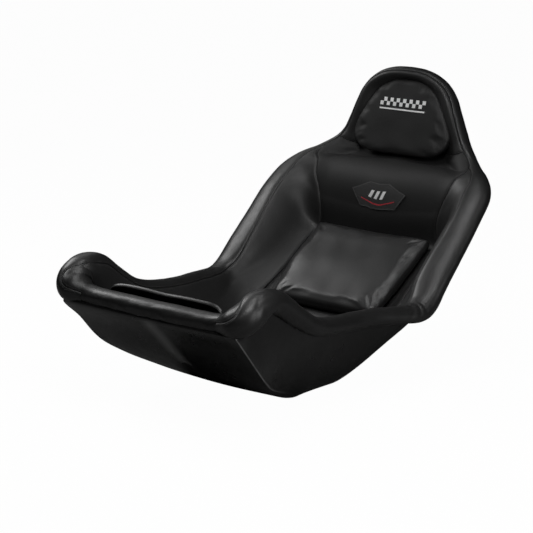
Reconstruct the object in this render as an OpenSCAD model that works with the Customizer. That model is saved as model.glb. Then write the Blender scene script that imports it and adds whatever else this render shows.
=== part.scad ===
// Reclined single-seater racing seat: a moulded bucket with padded rims and three lift-off pads.
// X runs across the seat (+X is the sitter's left), the seat faces -Y and Z is up.
// The origin is the middle of the flat base, on its underside.

/* [Bucket] */
// Wall thickness of the moulded bucket
shell_wall = 4; // [3:0.5:5]
// Thickness of the sewn covers
cover_wall = 2; // [1:0.25:2.5]
// Clear space left between neighbouring layers
layer_gap = 0.4; // [0.3:0.1:0.6]

/* [Loose pads] */
// Thickness of the seat cushion at its middle
seat_cushion_height = 26; // [16:1:30]
// Thickness of the back cushion at its middle
back_cushion_height = 27; // [18:1:32]
// Half width of the back cushion
back_cushion_half_width = 147; // [130:1:150]
// Reach of the head pad's face in front of its back, at the lower edge
head_pad_low = 52; // [44:1:56]
// Reach of the head pad's face in front of its back, at the upper edge
head_pad_high = 9; // [7:1:16]
// Thickness of a hook or loop tape
tape_thickness = 1.2; // [0.8:0.1:1.5]
// Free height left between a pad's tape and the tape under it
pad_gap = 0.6; // [0.4:0.1:1]

/* [Base fixing] */
// Distance between the bolts across the seat
bolt_spacing_x = 150; // [120:5:160]
// Distance between the bolts along the seat
bolt_spacing_y = 80; // [60:5:90]
// Bore of a threaded insert, the nominal M8 thread
insert_bore_diameter = 8; // [7.8:0.1:8.2]
// Outer diameter of a threaded insert
insert_diameter = 13; // [12:0.5:16]
// Height of a threaded insert above the mounting plate
insert_height = 12; // [9:0.5:14]
// Thickness of the mounting plate
plate_thickness = 5; // [4:0.5:6]

/* [Hidden] */

// The bucket is drawn as a row of cross-sections, from the front lip round to the top of the
// head. Each section runs from the spine (on x = 0) to the corner and on to the rim.
// Rim edge of the bucket: x, y, z
rim_line = [
    [168, -320, 216],
    [211, -317, 231],
    [224, -287, 252],
    [227, -243, 252],
    [229, -190, 218],
    [229, -140, 187],
    [226, -95, 172],
    [224, -45, 165],
    [225, 5, 161],
    [233, 58, 158],
    [247, 110, 152],
    [262, 158, 148],
    [266, 196, 162],
    [264, 240, 204],
    [262, 300, 258],
    [260, 355, 309],
    [252, 402, 345],
    [231, 434, 367],
    [202, 460, 382],
    [172, 486, 404],
    [153, 497, 430],
    [139, 501, 460],
    [125, 503, 493],
    [109, 506, 527],
    [85, 508, 553],
    [48, 508, 571],
    [0, 508, 576],
];
// Corner between floor and wall, on the outer face: x, y, z
corner_line = [
    [170, -323, 213],
    [219, -343, 204],
    [213, -305, 165],
    [203, -258, 117],
    [182, -215, 87],
    [160, -170, 58],
    [150, -115, 26],
    [148, -60, 0],
    [150, -10, 0],
    [154, 55, 0],
    [162, 112, 19],
    [174, 182, 60],
    [184, 240, 95],
    [190, 305, 136],
    [192, 368, 176],
    [194, 420, 215],
    [190, 438, 284],
    [180, 460, 342],
    [164, 498, 370],
    [150, 518, 396],
    [138, 523, 427],
    [126, 525, 458],
    [112, 526, 491],
    [97, 527, 524],
    [75, 528, 547],
    [43, 528, 562],
    [0, 528, 566],
];
// Spine of the bucket, on the outer face: y, z
spine_line = [
    [-320, 216],
    [-339, 198],
    [-303, 160],
    [-260, 112],
    [-224, 76],
    [-183, 46],
    [-122, 16],
    [-60, 0],
    [-10, 0],
    [55, 0],
    [112, 17],
    [182, 59],
    [240, 94],
    [305, 135],
    [368, 175],
    [422, 211],
    [438, 272],
    [449, 330],
    [484, 368],
    [514, 397],
    [524, 434],
    [526, 466],
    [526, 498],
    [526, 520],
    [526, 532],
    [526, 538],
    [526, 540],
];
// Padding at each section: rim roll inset from the edge, roll half width, roll half thickness,
// rounding of the corner, lining depth on the floor, lining depth at the rim
padding_line = [
    [0, 22, 19, 2, 6, 6],
    [0, 30, 24, 2, 14, 8],
    [1, 30, 28, 3, 22, 10],
    [1, 28, 26, 3, 24, 12],
    [0, 23, 23, 8, 24, 14],
    [0, 21, 21, 14, 22, 14],
    [0, 21, 21, 30, 20, 14],
    [0, 21, 21, 45, 20, 14],
    [0, 21, 21, 50, 20, 14],
    [0, 22, 21, 50, 20, 14],
    [2, 25, 21, 55, 20, 15],
    [5, 28, 21, 55, 22, 18],
    [10, 33, 21, 40, 25, 24],
    [18, 42, 21, 32, 28, 32],
    [23, 48, 21, 30, 28, 37],
    [25, 50, 21, 30, 30, 38],
    [23, 48, 21, 32, 44, 36],
    [12, 35, 21, 30, 45, 26],
    [4, 24, 20, 20, 28, 14],
    [0, 17, 19, 12, 20, 8],
    [0, 13, 18, 10, 14, 6],
    [0, 12, 18, 8, 12, 6],
    [0, 12, 18, 8, 12, 6],
    [0, 12, 18, 8, 12, 6],
    [0, 12, 18, 8, 12, 6],
    [0, 12, 18, 8, 12, 6],
    [0, 12, 18, 8, 12, 6],
];
top = len(rim_line) - 1;
row_step = 0.5;
corner_step = 0.25;
roll_clearance = 1.5;
mouth_gap = 3.6;
slot_gap = 2;
backing_gap = 1.1;
roll_points = 8;
lining_top = layer_gap + cover_wall;
tape_gap = 0.45;
pad_height = lining_top + 2 * tape_thickness + 2 * tape_gap + pad_gap;

function unit(v) = v / max(norm(v), 1e-9);
function steps(a, b, n) = [for (i = [0:n]) a + (b - a) * i / max(1, n)];
// Sections from a to b: both ends, and between them every multiple of the step, but for the
// halves where the seat runs straight
straight_halves = [7.5, 8.5, 12.5, 13.5];
function rows(a, b) =
    let (step = b > rim_from ? row_step : corner_step)
    concat(
        [a],
        [for (k = [ceil((a + 0.1) / step):floor((b - 0.1) / step)])
            if (len(search(k * step, straight_halves)) == 0) k * step],
        [b]
    );
function mirrored(p) = [for (i = [0:len(p) - 1]) i == 0 ? -p[i] : p[i]];

// A value of a line past its ends: straight on at the lip, mirrored past the top of the head
function key(line, i, sided) =
    i < 0 ? line[0] + i * (line[1] - line[0])
    : i <= top ? line[i]
    : sided ? mirrored(line[2 * top - i])
    : line[2 * top - i];

// Smooth curve through the values of a line (Catmull-Rom)
function curve(line, u, sided = false) =
    let (
        i = floor(u),
        t = u - i,
        a = key(line, i - 1, sided),
        b = key(line, i, sided),
        c = key(line, i + 1, sided),
        d = key(line, i + 2, sided)
    )
    b + t * ((c - a) / 2 + t * ((a - 2.5 * b + 2 * c - d / 2) + t * ((3 * b - 3 * c + d - a) / 2)));

// The base is flat, so nothing of a line dips under z = 0
function on_base(p) = [p[0], p[1], max(0, p[2])];
function rim(u) = curve(rim_line, u, true);
function corner(u) = on_base(curve(corner_line, u, true));
function spine(u) = let (p = curve(spine_line, u)) on_base([0, p[0], p[1]]);
function padding(u) = curve(padding_line, u);

// Section of a layer that lies depth inside the outer face; s runs from 0 at the spine to 1 at
// the rim, with the straight floor up to 0.4, the rounded corner to 0.6 and the wall beyond
function section(u, depth) =
    let (
        outer_spine = spine(u),
        outer_corner = corner(u),
        outer_rim = rim(u),
        across = unit(outer_corner - outer_spine),
        up = unit(outer_rim - outer_corner),
        floor_normal = unit(cross(across, corner(u + 0.05) - corner(u - 0.05))),
        wall_normal = unit(cross(up, rim(u + 0.05) - rim(u - 0.05))),
        c = outer_spine + depth * unit([0, floor_normal[1], floor_normal[2]]),
        k = outer_corner + depth * (floor_normal + wall_normal) / (1 + floor_normal * wall_normal),
        r = outer_rim + depth * wall_normal,
        rounding = padding(u)[3],
        a = k + unit(c - k) * min(rounding, 0.8 * norm(c - k)),
        b = k + unit(r - k) * min(1.2 * rounding, 0.7 * norm(r - k))
    )
    [c, a, k, b, r];

function section_point(sec, s) =
    s <= 0.4 ? sec[0] + (sec[1] - sec[0]) * s / 0.4
    : s <= 0.6 ? let (t = (s - 0.4) / 0.2)
        (1 - t) * (1 - t) * sec[1] + 2 * t * (1 - t) * sec[2] + t * t * sec[3]
    : sec[3] + (sec[4] - sec[3]) * (s - 0.6) / 0.4;

// Axes of the rim roll: along the rim, outwards, and towards the sitter
function opening_side(p) = [
    p[1] < -150 ? p[0] - 170 * sign(p[0]) : p[0],
    min(0, p[1] + 260),
    max(0, p[2] - 470)
];
function rim_axes(u) =
    let (
        along = unit(rim(u + 0.05) - rim(u - 0.05)),
        side = opening_side(rim(u)),
        out = unit(side - along * (side * along))
    )
    [along, out, cross(out, along)];

// Where a layer meets the rim roll: the last s, counted from the spine, that lies outside it
function roll_stop(u, depth) =
    let (
        sec = section(u, depth),
        axes = rim_axes(u),
        pad = padding(u),
        edge = rim(u),
        inside = [for (s = steps(0, 1, 50))
            let (q = section_point(sec, s) - edge)
            if (norm([
                (q * axes[1] + pad[0]) / (pad[1] + roll_clearance),
                (q * axes[2]) / (pad[2] + roll_clearance)
            ]) < 1) s]
    )
    len(inside) == 0 ? 1 : inside[0] - 0.02;

// Lining depth between floor and rim
function lining_depth(u, s) =
    let (pad = padding(u), t = min(1, max(0, (s - 0.4) / 0.5)))
    pad[4] + (pad[5] - pad[4]) * t * t * (3 - 2 * t);

// Seam between the middle and the side linings, which runs out to the rim at the shoulders
function seam(u) = 0.5 + 0.5 * min(1, max(0, (u - 14.5) / 3.5));

// Point of the lining surface, raised by some height along its own normal
function lining_point(u, s, height) =
    let (p = section_point(section(u, lining_depth(u, abs(s)) + height), abs(s)))
    [s < 0 ? -p[0] : p[0], p[1], p[2]];

// Places across a layer, the same ones in every layer so that their facets lie parallel
floor_places = [0, 0.2, 0.4, 0.45];
function middle_places(end, wall_steps) =
    let (
        squeeze = wall_steps == 0 ? 1 : min(1, end / 0.56),
        half = concat(floor_places * squeeze, steps(0.5 * squeeze, end, wall_steps))
    )
    concat([for (i = [len(half) - 1:-1:1]) -half[i]], half);
function side_places(start, end) =
    start > 0.54 ? steps(start, end, 4)
    : [start, 0.55, 0.6, 0.6 + (end - 0.6) / 2, end];

// Rows of a lining layer and of a foam layer's underside, cut back to the rim roll
function lining_row(u, places, height) = [for (s = places) lining_point(u, s, height)];
function backing_row(u, places) =
    let (sec = section(u, shell_wall + backing_gap))
    [for (s = places)
        let (p = section_point(sec, abs(s)))
        [s < 0 ? -p[0] : p[0], p[1], p[2]]];

// Closed solid between two grids of points; a folded end closes on itself on x = 0
// and the facets of a two-sided one mirror each other
module between(lower, upper, folded = false, two_sided = true) {
    n = len(lower);
    m = len(lower[0]);
    middle = two_sided ? (m - 1) / 2 : 0;
    function id(layer, i, j) = layer * n * m + i * m + (folded && i == n - 1 ? min(j, m - 1 - j) : j);
    function quad(a, b, c, d) =
        a == b || b == c ? (c == d || d == a ? [] : [[a, c, d]])
        : c == d || d == a ? [[a, b, c]]
        : [[a, b, c], [a, c, d]];
    // beside a folded end the diagonals are turned, so that none lies in the plane x = 0
    function cell(layer, i, j) =
        let (
            beside = folded && i == n - 2 && abs(j + 0.5 - middle) < 1,
            turned = (j < middle) != beside,
            a = turned ? id(layer, i, j + 1) : id(layer, i, j),
            b = turned ? id(layer, i + 1, j + 1) : id(layer, i, j + 1),
            c = turned ? id(layer, i + 1, j) : id(layer, i + 1, j + 1),
            d = turned ? id(layer, i, j) : id(layer, i + 1, j)
        )
        layer == 0 ? quad(a, b, c, d) : quad(a, d, c, b);
    polyhedron(
        points = concat([for (row = lower) each row], [for (row = upper) each row]),
        faces = concat(
            [for (layer = [0, 1], i = [0:n - 2], j = [0:m - 2]) each cell(layer, i, j)],
            [for (i = [0:n - 2])
                each quad(id(0, i, 0), id(0, i + 1, 0), id(1, i + 1, 0), id(1, i, 0))],
            [for (i = [0:n - 2])
                each quad(id(0, i, m - 1), id(1, i, m - 1), id(1, i + 1, m - 1), id(0, i + 1, m - 1))],
            [for (j = [0:m - 2])
                each quad(id(0, 0, j), id(1, 0, j), id(1, 0, j + 1), id(0, 0, j + 1))],
            folded ? [] : [for (j = [0:m - 2])
                each quad(id(0, n - 1, j), id(0, n - 1, j + 1), id(1, n - 1, j + 1), id(1, n - 1, j))]
        )
    );
}

// Ring of a rim roll: an ellipse about the inset rim edge, open where the bucket wall enters. The
// wall runs from the rim towards way and is as thick as the bucket on the side of inward.
function wall_axes(u) =
    let (
        axes = rim_axes(u),
        up = unit(rim(u) - corner(u)),
        normal = unit(cross(up, rim(u + 0.05) - rim(u - 0.05))),
        inward = unit([normal * axes[1], normal * axes[2]])
    )
    [-unit([up * axes[1], up * axes[2]]), inward];

// Angle at which an ellipse meets the line that lies offset inwards of the bucket's outer face
function mouth_angle(u, a, b, offset) =
    let (
        wall = wall_axes(u),
        n = wall[1],
        k = offset + padding(u)[0] * n[0],
        reach = norm([a * n[0], b * n[1]]),
        turn = acos(max(-1, min(1, k / reach))),
        middle = atan2(b * n[1], a * n[0]),
        first = middle + turn,
        second = middle - turn,
        way = wall[0]
    )
    a * cos(first) * way[0] + b * sin(first) * way[1] > a * cos(second) * way[0] + b * sin(second) * way[1]
    ? first : second;
function ring_point(u, x, y) =
    let (axes = rim_axes(u), pad = padding(u))
    rim(u) + axes[1] * (x - pad[0]) + axes[2] * y;
function roll_arc(u, shrink) =
    let (
        pad = padding(u),
        a = pad[1] - shrink,
        b = pad[2] - shrink,
        outside = mouth_angle(u, a, b, -mouth_gap),
        inside = mouth_angle(u, a, b, shell_wall + mouth_gap),
        turn = (inside - outside + 720) % 360,
        clockwise = turn > 180,
        full = clockwise ? turn : turn - 360
    )
    [for (t = steps(0, 1, roll_points))
        let (angle = outside + full * t)
        ring_point(u, a * cos(angle), b * sin(angle))];

// Bottom corners of the slot in a roll's foam, just past the edge of the bucket
function slot_corners(u) =
    let (wall = wall_axes(u), edge = [padding(u)[0], 0] - slot_gap * 2 * wall[0])
    [for (offset = [shell_wall + slot_gap, -slot_gap])
        let (q = edge + offset * wall[1])
        ring_point(u, q[0], q[1])];

// Foam core swept along the rim. Its ends are filled in two fans, one from each slot corner.
module roll_foam(from, to) {
    rings = [for (u = rows(from, to)) concat(slot_corners(u), roll_arc(u, cover_wall + layer_gap))];
    n = len(rings);
    m = len(rings[0]);
    half = floor((m + 2) / 2);
    function end_faces(first, turned) = [
        for (k = [2:m - 2])
            let (tip = k < half ? 1 : 0)
            turned ? [first + tip, first + k, first + k + 1] : [first + tip, first + k + 1, first + k],
        turned ? [first, first + 1, first + half] : [first, first + half, first + 1]
    ];
    polyhedron(
        points = [for (ring = rings) each ring],
        faces = concat(
            [for (i = [0:n - 2], k = [0:m - 1])
                let (a = i * m + k, b = i * m + (k + 1) % m)
                each [[a, b, b + m], [a, b + m, a + m]]],
            end_faces(0, false),
            end_faces((n - 1) * m, true)
        )
    );
}

// The bucket's wall with some room round it, which is cut out of the pads where the rim turns sharply
module wall_room(from, to) {
    half = [0, 0.2, 0.4, 0.45, 0.5, 0.55, 0.6, 0.8, 1.06];
    places = concat([for (i = [len(half) - 1:-1:1]) -half[i]], half);
    function room_row(u, depth) =
        let (sec = section(u, depth))
        [for (s = places)
            let (p = section_point(sec, abs(s)))
            [s < 0 ? -p[0] : p[0], p[1], p[2]]];
    between(
        [for (u = rows(from, to)) room_row(u, -slot_gap)],
        [for (u = rows(from, to)) room_row(u, shell_wall + slot_gap)]
    );
}

// Cover wrapped round the foam core of the rim
module roll_cover(from, to)
    between(
        [for (u = rows(from, to)) roll_arc(u, 0)],
        [for (u = rows(from, to)) roll_arc(u, cover_wall)],
        false, false
    );

// A layer's places are given by a function of the section and of where the rim roll stops it
module lining_layer(from, to, places, folded = false, two_sided = true) {
    lines = rows(from, to);
    across = [for (u = lines) places(u, roll_stop(u, lining_depth(u, 1) + lining_top))];
    between(
        [for (i = [0:len(lines) - 1]) lining_row(lines[i], across[i], layer_gap)],
        [for (i = [0:len(lines) - 1]) lining_row(lines[i], across[i], lining_top)],
        folded, two_sided
    );
}

module foam_layer(from, to, places, folded = false, two_sided = true) {
    lines = rows(from, to);
    between(
        [for (u = lines) backing_row(u, places(u, roll_stop(u, shell_wall + backing_gap)))],
        [for (u = lines) lining_row(u, places(u, roll_stop(u, lining_depth(u, 1))), 0)],
        folded, two_sided
    );
}

// Which places the lining panels cover: the seat's floor, the back, the head part, the sides
seat_places = function(u, stop) middle_places(0.5, 0);
back_places = function(u, stop) middle_places(min(seam(u), stop, u > shoulder_from ? shoulder_place : 1), 2);
head_places = function(u, stop) middle_places(stop, 1);
edge_places = function(u, stop) side_places(min(seam(u) + seam_gap, stop - 0.02), stop);

module at_bolts()
    for (x = [-1, 1], y = [-1, 1])
        translate([x * bolt_spacing_x / 2, y * bolt_spacing_y / 2, 0]) children();

// Moulded bucket of laminate, drilled for the threaded inserts
module bucket_shell() {
    half = concat(floor_places, [0.5, 0.55, 0.6, 0.8, 1]);
    across = concat([for (i = [len(half) - 1:-1:1]) -half[i]], half);
    function row(u, depth) =
        let (sec = section(u, depth))
        [for (s = across)
            let (p = section_point(sec, abs(s)))
            [s < 0 ? -p[0] : p[0], p[1], p[2]]];
    color("#17181a")
        difference() {
            between(
                [for (u = rows(0, top)) row(u, 0)],
                [for (u = rows(0, top)) row(u, shell_wall)],
                true
            );
            at_bolts() translate([0, 0, -1]) cylinder(d = insert_diameter, h = shell_wall + 2, $fn = 48);
        }
}

// Aluminium plate bonded to the inside of the flat base, round the inserts
module mounting_plate() {
    corner_radius = 14;
    length_x = bolt_spacing_x + 36;
    length_y = bolt_spacing_y + 22;
    color("#9a9da1")
        translate([0, 0, shell_wall + bond_gap])
            linear_extrude(plate_thickness)
                difference() {
                    union() {
                        square([length_x, length_y - 2 * corner_radius], center = true);
                        square([length_x - 2 * corner_radius, length_y], center = true);
                        for (x = [-1, 1], y = [-1, 1])
                            translate([
                                x * (length_x / 2 - corner_radius),
                                y * (length_y / 2 - corner_radius)
                            ])
                                circle(r = corner_radius, $fn = 48);
                    }
                    at_bolts() circle(d = insert_diameter, $fn = 48);
                }
}

// Steel inserts for M8 bolts, flush with the underside of the base
module threaded_inserts()
    color("#b8b9bb")
        at_bolts()
            difference() {
                cylinder(d = insert_diameter, h = insert_height, $fn = 48);
                translate([0, 0, -1]) cylinder(d = insert_bore_diameter, h = insert_height + 2, $fn = 48);
            }

seat_from = 1.5;
back_from = 14.5;
head_from = 19.5;
rim_from = 2.5;
rim_to = 17.5;
side_to = 15.5;
shoulder_from = 15.6;
shoulder_place = 0.58;
seam_gap = 0.01;
bond_gap = 0.1;

// Foam moulding on the floor of the bucket, hollowed over the mounting plate
module seat_foam()
    color("#3a3b3e")
        difference() {
            foam_layer(seat_from, back_from, seat_places);
            translate([0, 0, insert_height / 2 + 0.5])
                cube([bolt_spacing_x + 40, bolt_spacing_y + 36, insert_height + 1], center = true);
        }

module seat_lining()
    color("#232427")
        lining_layer(seat_from, back_from, seat_places);

// Foam and cover between the floor seam and the rim, on one side
module side_foam()
    color("#3a3b3e")
        foam_layer(seat_from, side_to, edge_places, false, false);

module side_lining()
    color("#232427")
        lining_layer(seat_from, side_to, edge_places, false, false);

module side_foam_left() side_foam();
module side_foam_right() mirror([1, 0, 0]) side_foam();
module side_lining_left() side_lining();
module side_lining_right() mirror([1, 0, 0]) side_lining();

module upper_back_foam()
    color("#3a3b3e")
        foam_layer(back_from + 0.02, head_from, back_places);

module upper_back_panel()
    color("#232427")
        lining_layer(back_from + 0.02, head_from, back_places);

module head_foam()
    color("#3a3b3e")
        foam_layer(head_from + 0.02, top, head_places, true);

module head_lining()
    color("#232427")
        lining_layer(head_from + 0.02, top, head_places, true);

module rim_foam_left() color("#3a3b3e") roll_foam(rim_from + 0.02, rim_to - 0.02);
module rim_foam_right() mirror([1, 0, 0]) rim_foam_left();
module rim_cover_left() color("#1d1e20") roll_cover(rim_from + 0.02, rim_to - 0.02);
module rim_cover_right() mirror([1, 0, 0]) rim_cover_left();
module corner_foam_left()
    color("#3a3b3e")
        difference() {
            roll_foam(0, rim_from);
            wall_room(-0.12, rim_from + 0.75);
        }
module corner_foam_right() mirror([1, 0, 0]) corner_foam_left();
module corner_cover_left()
    color("#1d1e20")
        difference() {
            roll_cover(0, rim_from);
            wall_room(-0.12, rim_from + 0.75);
        }
module corner_cover_right() mirror([1, 0, 0]) corner_cover_left();
module head_rim_foam()
    color("#3a3b3e")
        difference() {
            roll_foam(rim_to, 2 * top - rim_to);
            wall_room(rim_to - 0.75, head_from);
        }
module head_rim_cover()
    color("#1d1e20")
        difference() {
            roll_cover(rim_to, 2 * top - rim_to);
            wall_room(rim_to - 0.75, head_from);
        }

// Straight roll over the front lip, between the two corner pads
front_centre = [spine_line[0][0], spine_line[0][1]];
front_half_width = rim_line[0][0] - 10;
front_slot_angle = 229;
front_slot_half_angle = 23;
front_slot_reach = 15;
function front_arc(shrink) = [
    for (turn = steps(front_slot_half_angle, 360 - front_slot_half_angle, 24))
        let (a = front_slot_angle + turn)
        front_centre + [(padding_line[0][1] - shrink) * cos(a), (padding_line[0][2] - shrink) * sin(a)]
];
module along_x(half_width)
    translate([-half_width, 0, 0])
        rotate([90, 0, 90])
            linear_extrude(2 * half_width) children();

module front_roll_foam() {
    tip = front_centre - front_slot_reach * [cos(front_slot_angle), sin(front_slot_angle)]
        + shell_wall / 2 * [-sin(front_slot_angle), cos(front_slot_angle)];
    color("#3a3b3e")
        along_x(front_half_width)
            polygon(concat([tip], front_arc(cover_wall + layer_gap)));
}

module front_roll_cover() {
    inner = front_arc(cover_wall);
    color("#1d1e20")
        along_x(front_half_width)
            polygon(concat(front_arc(0), [for (i = [len(inner) - 1:-1:0]) inner[i]]));
}

// Loose pads. The seat cushion is raised straight up from the lining and the back cushion
// squarely off it, which are also the ways in which they lift off.
seat_up = [0, 0, 1];
back_out = [0, -0.54, 0.84];
cushion_from = 2;
cushion_to = 10;
back_cushion_from = 11.5;
back_cushion_to = 15;
thigh_rise = 43;
front_draw_in = 0.9;
edge_share = 0.65;
edge_lift = 3;

// Half width of the seat cushion, as a share s of each section
function seat_share(u) = 0.29 + 0.2 * min(1, max(0, (u - 1.75) / 5));
// The s at which the straight floor of the lining is some half width out
function share_at(u, half_width) =
    let (sec = section(u, lining_depth(u, 0) + layer_gap + cover_wall))
    min(0.41, 0.4 * half_width / sec[1][0]);

// Share of full height towards the edges of a pad, from its middle at 0 to its edge at 1
function fall_off(t, power) = sqrt(max(0, 1 - pow(abs(t), power)));
function crown(a, b) = edge_share + (1 - edge_share) * fall_off(a, 8) * fall_off(b, 8);

// Grid of points over the lining, raised by a height that depends on the place
function raised(from, to, share, n, way, height) =
    let (us = rows(from, to))
    [for (u = us)
        [for (f = steps(-1, 1, n))
            lining_point(u, f * share(u), lining_top)
            + way * height(f, 2 * (u - from) / (to - from) - 1)]];

// A pad's underside follows the lining and turns up a little towards its sides
module pad_on_lining(from, to, share, n, way, height)
    between(
        raised(from, to, share, n, way, function(a, b) pad_height - lining_top + edge_lift * pow(a, 6)),
        raised(from, to, share, n, way, function(a, b) pad_height - lining_top + height(a, b)),
        false
    );

module seat_cushion()
    color("#2a2b2e")
        pad_on_lining(
            cushion_from, cushion_to, function(u) seat_share(u), 12, seat_up,
            function(a, b)
                (seat_cushion_height + thigh_rise * pow(max(0, -b), 3)) * crown(a, max(b, -front_draw_in))
        );

module back_cushion()
    color("#2a2b2e")
        pad_on_lining(
            back_cushion_from, back_cushion_to, function(u) share_at(u, back_cushion_half_width), 12, back_out,
            function(a, b) back_cushion_height * crown(a, b)
        );

// Two tapes side by side between the lining and a pad: the loop tape lies on the lining and the
// hook tape under the pad
module tape_pair(from, to, s_from, s_to, way, height)
    for (side = [0, 1])
        mirror([side, 0, 0])
            between(
                [for (u = rows(from, to)) [for (s = steps(s_from, s_to, 1))
                    lining_point(u, s, lining_top) + way * height]],
                [for (u = rows(from, to)) [for (s = steps(s_from, s_to, 1))
                    lining_point(u, s, lining_top) + way * (height + tape_thickness)]]
            );
loop_height = tape_gap;
hook_height = pad_height - lining_top - tape_gap - tape_thickness;
module seat_tapes(height) tape_pair(5, 9.5, 0.08, 0.18, seat_up, height);
module back_tapes(height) tape_pair(12, 14, 0.06, 0.19, back_out, height);
module head_tapes(height)
    for (side = [-1, 1])
        translate([side * tape_offset - tape_width / 2, head_back + tape_thickness * height, tape_low])
            cube([tape_width, tape_thickness, tape_high - tape_low]);
tape_width = 30;
tape_offset = 45;
tape_low = 460;
tape_high = 525;
module seat_loop_tapes() color("#151618") seat_tapes(loop_height);
module seat_hook_tapes() color("#101113") seat_tapes(hook_height);
module back_loop_tapes() color("#151618") back_tapes(loop_height);
module back_hook_tapes() color("#101113") back_tapes(hook_height);
module head_loop_tapes() color("#151618") head_tapes(1.5);
module head_hook_tapes() color("#101113") head_tapes(0);

// Sewn patch on the upper back panel: six-sided, widest a third of the way down
patch_low = 16.05;
patch_high = 16.85;
patch_widths = [46, 58, 71, 26];
patch_thickness = 1;
module back_patch() {
    us = [patch_low, patch_low + 0.25, patch_low + 0.5, patch_high];
    function patch_row(height) =
        [for (i = [0:3])
            let (sec = section(us[i], lining_depth(us[i], 0) + lining_top))
            [for (f = steps(-1, 1, 4))
                lining_point(us[i], f * 0.4 * patch_widths[i] / sec[1][0], height)]];
    color("#1b1c1f")
        between(patch_row(lining_top + bond_gap * 4), patch_row(lining_top + bond_gap * 4 + patch_thickness));
}

// Head pad: flat behind but for its sides, which turn forwards, with a front that leans back
head_outline = [
    [400, 73],
    [404, 92],
    [414, 111],
    [430, 123],
    [446, 126],
    [470, 119],
    [496, 106],
    [520, 90],
    [540, 74],
    [552, 59],
    [559, 41],
    [562, 25],
];
head_back = 508;
head_foot = 478;
head_foot_slope = 0.72;
head_pad_turn = 7.5;
head_front_low = head_back - head_pad_low;
head_front_high = head_back - head_pad_high;
module head_pad() {
    low = head_outline[0][0];
    high = head_outline[len(head_outline) - 1][0];
    function back_y(z) = min(head_back, head_foot + (z - low) * head_foot_slope);
    function front_y(z) = head_front_low + (head_front_high - head_front_low) * (z - low) / (high - low);
    function front(z, f) =
        let (share = fall_off(f, 6) * fall_off(2 * (z - low) / (high - low) - 1, 10))
        back_y(z) - 5 - (back_y(z) - 5 - front_y(z)) * (0.75 + 0.25 * share);
    function turned_up(z, f) = head_pad_turn * min(1, (high - z) / 50) * pow(abs(f), 4);
    function pad_row(p, forward) =
        [for (f = steps(-1, 1, 12))
            [f * p[1], forward ? front(p[0], f) : back_y(p[0]) - turned_up(p[0], f), p[0]]];
    color("#2a2b2e")
        between(
            [for (p = head_outline) pad_row(p, false)],
            [for (p = head_outline) pad_row(p, true)]
        );
}

bucket_shell();
mounting_plate();
threaded_inserts();
seat_foam();
seat_lining();
side_foam_left();
side_foam_right();
side_lining_left();
side_lining_right();
upper_back_foam();
upper_back_panel();
head_foam();
head_lining();
rim_foam_left();
rim_foam_right();
rim_cover_left();
rim_cover_right();
corner_foam_left();
corner_foam_right();
corner_cover_left();
corner_cover_right();
head_rim_foam();
head_rim_cover();
front_roll_foam();
front_roll_cover();
seat_cushion();
back_cushion();
head_pad();
seat_loop_tapes();
back_loop_tapes();
head_loop_tapes();
seat_hook_tapes();
back_hook_tapes();
head_hook_tapes();
back_patch();
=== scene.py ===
import math
import bpy
import bmesh
import numpy as np
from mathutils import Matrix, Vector


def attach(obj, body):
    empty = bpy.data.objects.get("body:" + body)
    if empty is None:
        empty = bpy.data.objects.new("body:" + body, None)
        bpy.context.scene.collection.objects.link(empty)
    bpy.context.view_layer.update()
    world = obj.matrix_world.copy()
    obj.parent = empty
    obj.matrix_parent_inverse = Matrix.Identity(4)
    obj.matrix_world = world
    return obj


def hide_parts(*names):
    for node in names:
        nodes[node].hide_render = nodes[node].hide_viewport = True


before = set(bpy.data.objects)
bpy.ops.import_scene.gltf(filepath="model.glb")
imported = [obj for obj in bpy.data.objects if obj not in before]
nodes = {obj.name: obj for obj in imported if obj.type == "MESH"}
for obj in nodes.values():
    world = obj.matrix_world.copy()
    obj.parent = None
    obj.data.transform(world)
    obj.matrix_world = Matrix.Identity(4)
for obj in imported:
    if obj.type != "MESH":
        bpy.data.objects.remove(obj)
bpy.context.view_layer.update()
print("frame loaded")

# camera and studio

view = {"place": (2.2098, -2.6988, 1.1085), "look": (-0.6127, 0.7523, -0.2419), "lens": 120.95}


def makeCamera():
    camera = bpy.data.objects.new("camera", bpy.data.cameras.new("camera"))
    camera.data.lens = view["lens"]
    camera.data.sensor_width = 36
    camera.data.clip_end = 60
    camera.location = view["place"]
    camera.rotation_euler = Vector(view["look"]).to_track_quat("-Z", "Y").to_euler()
    bpy.context.scene.collection.objects.link(camera)
    bpy.context.scene.camera = camera


makeCamera()
print("camera placed")


# shader maths: a Sum wraps a socket, so that expressions on values add Math nodes

class Sum:
    def __init__(self, board, socket):
        self.board = board
        self.socket = socket

    def math(self, operation, *others):
        return self.board.add("ShaderNodeMath", {"operation": operation}, self, *others).out()

    def __add__(self, other):
        return self.math("ADD", other)

    def __sub__(self, other):
        return self.math("SUBTRACT", other)

    def __mul__(self, other):
        return self.math("MULTIPLY", other)

    def __truediv__(self, other):
        return self.math("DIVIDE", other)

    def __lt__(self, other):
        return self.math("LESS_THAN", other)

    def __gt__(self, other):
        return self.math("GREATER_THAN", other)

    def __abs__(self):
        return self.math("ABSOLUTE")

    def __neg__(self):
        return self.math("MULTIPLY", -1.0)

    def __mod__(self, other):
        return self.math("FLOORED_MODULO", other)

    def __rsub__(self, other):
        return self.board.add("ShaderNodeMath", {"operation": "SUBTRACT"}, other, self).out()

    __radd__ = __add__
    __rmul__ = __mul__

    def exp(self):
        return self.math("EXPONENT")

    def clip(self):
        return self.math("MINIMUM", 1.0).math("MAXIMUM", 0.0)


class Made:
    def __init__(self, board, node):
        self.board = board
        self.node = node

    def out(self, name=0):
        return Sum(self.board, self.node.outputs[name])


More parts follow.
